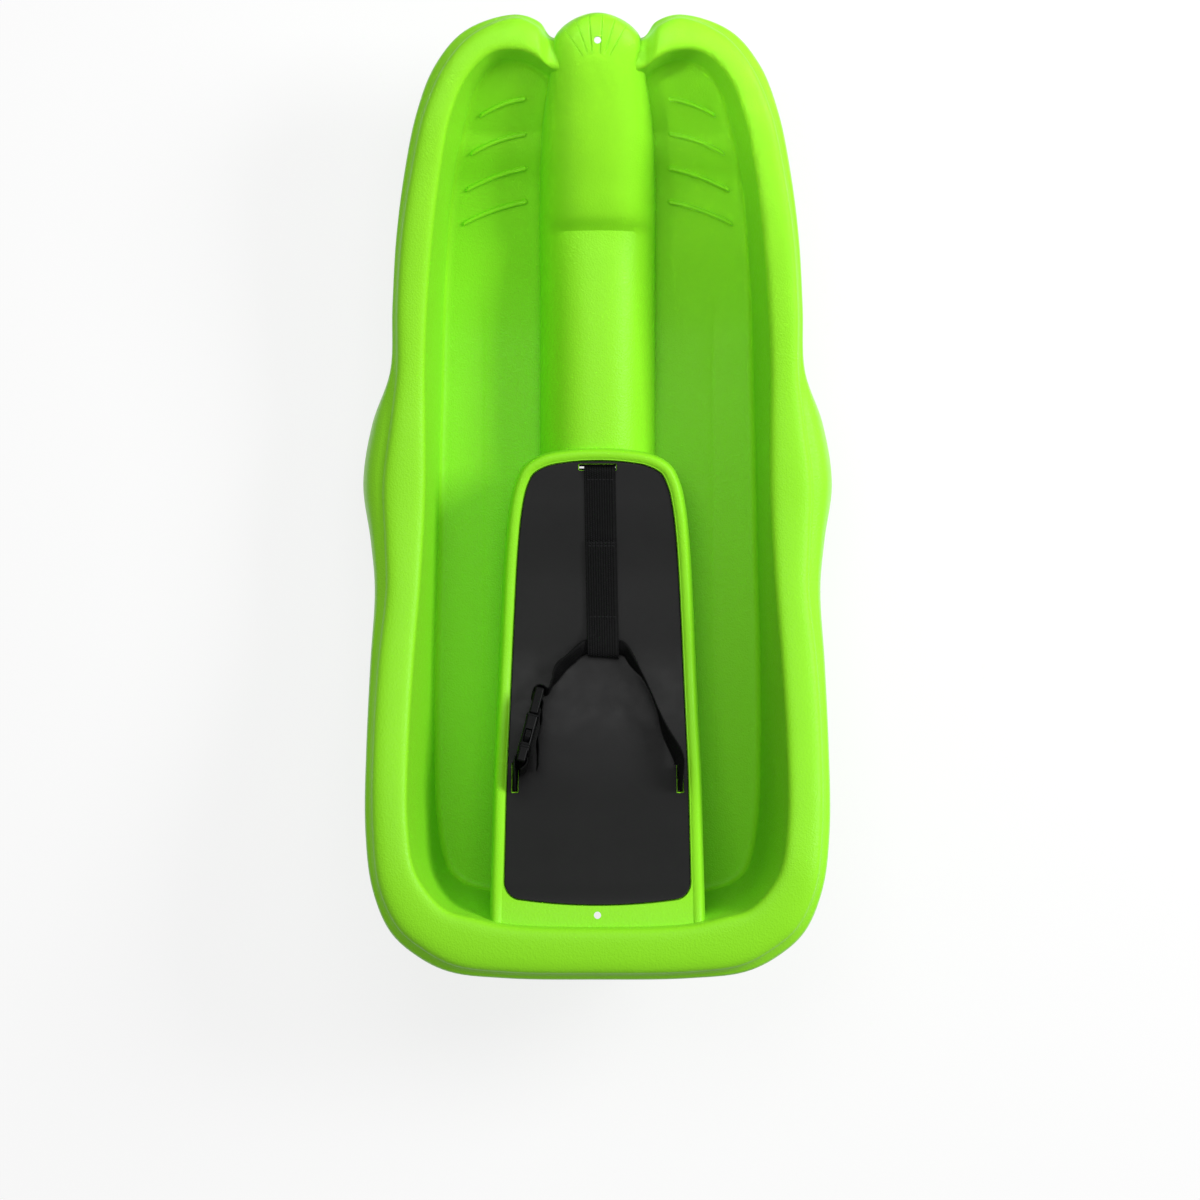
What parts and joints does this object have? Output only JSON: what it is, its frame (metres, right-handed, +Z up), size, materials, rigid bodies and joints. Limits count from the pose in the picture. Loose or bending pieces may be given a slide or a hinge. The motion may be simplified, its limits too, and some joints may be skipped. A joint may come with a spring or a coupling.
{
  "type": "baby sled",
  "caption": "Moulded baby sled with side footwells, a raised seat and backrest panel, a webbing harness and a side release buckle.",
  "frame": {"origin": "centre of the footprint, on the ground that the runners rest on", "axes": "+Z up, +Y towards the nose, +X to the right of a rider who faces the nose"},
  "size_m": [0.4426, 0.885, 0.2091],
  "materials": {
    "hull_polyethylene": "semi-gloss moulded polyethylene with a fine leather grain",
    "panel_plastic": "satin black plastic sheet",
    "keeper_plastic": "matt black plastic",
    "webbing_crotch": "black woven webbing with stitched seams",
    "webbing_lap": "black ribbed webbing",
    "buckle_plastic": "smooth black moulded plastic"
  },
  "bodies": {
    "sled": {"hull": "hull_polyethylene", "seat_panel": "panel_plastic", "crotch_keeper": "keeper_plastic", "lap_keeper_left": "keeper_plastic", "lap_keeper_right": "keeper_plastic", "crotch_strap": "webbing_crotch"},
    "lap_belt": {"lap_strap": "webbing_lap", "lap_strap_short": "webbing_lap", "buckle_receptacle": "buckle_plastic", "buckle_plug": "buckle_plastic"},
    "upper_arm": {"buckle_arm_upper": "buckle_plastic"},
    "lower_arm": {"buckle_arm_lower": "buckle_plastic"}
  },
  "joints": [
    {"name": "lap_belt_swing", "type": "hinge", "parent": "sled", "child": "lap_belt", "pos_m": [0, -0.2625, 0.106], "axis": [1, 0, 0], "range_deg": [0, 28], "deforming": ["crotch_strap", "lap_strap", "lap_strap_short"]},
    {"name": "buckle_arm_upper_squeeze", "type": "hinge", "parent": "lap_belt", "child": "upper_arm", "pos_m": [-0.06056, -0.20389, 0.11545], "axis": [0.9672, -0.2541, 0], "range_deg": [0, 9], "stiffness_Nm_per_rad": 0.4},
    {"name": "buckle_arm_lower_squeeze", "type": "hinge", "parent": "lap_belt", "child": "lower_arm", "pos_m": [-0.06215, -0.20997, 0.09837], "axis": [0.9672, -0.2541, 0], "range_deg": [-9, 0], "stiffness_Nm_per_rad": 0.4}
  ],
  "couplings": [
    {"joint": "buckle_arm_lower_squeeze", "follows": "buckle_arm_upper_squeeze", "ratio": -1}
  ]
}
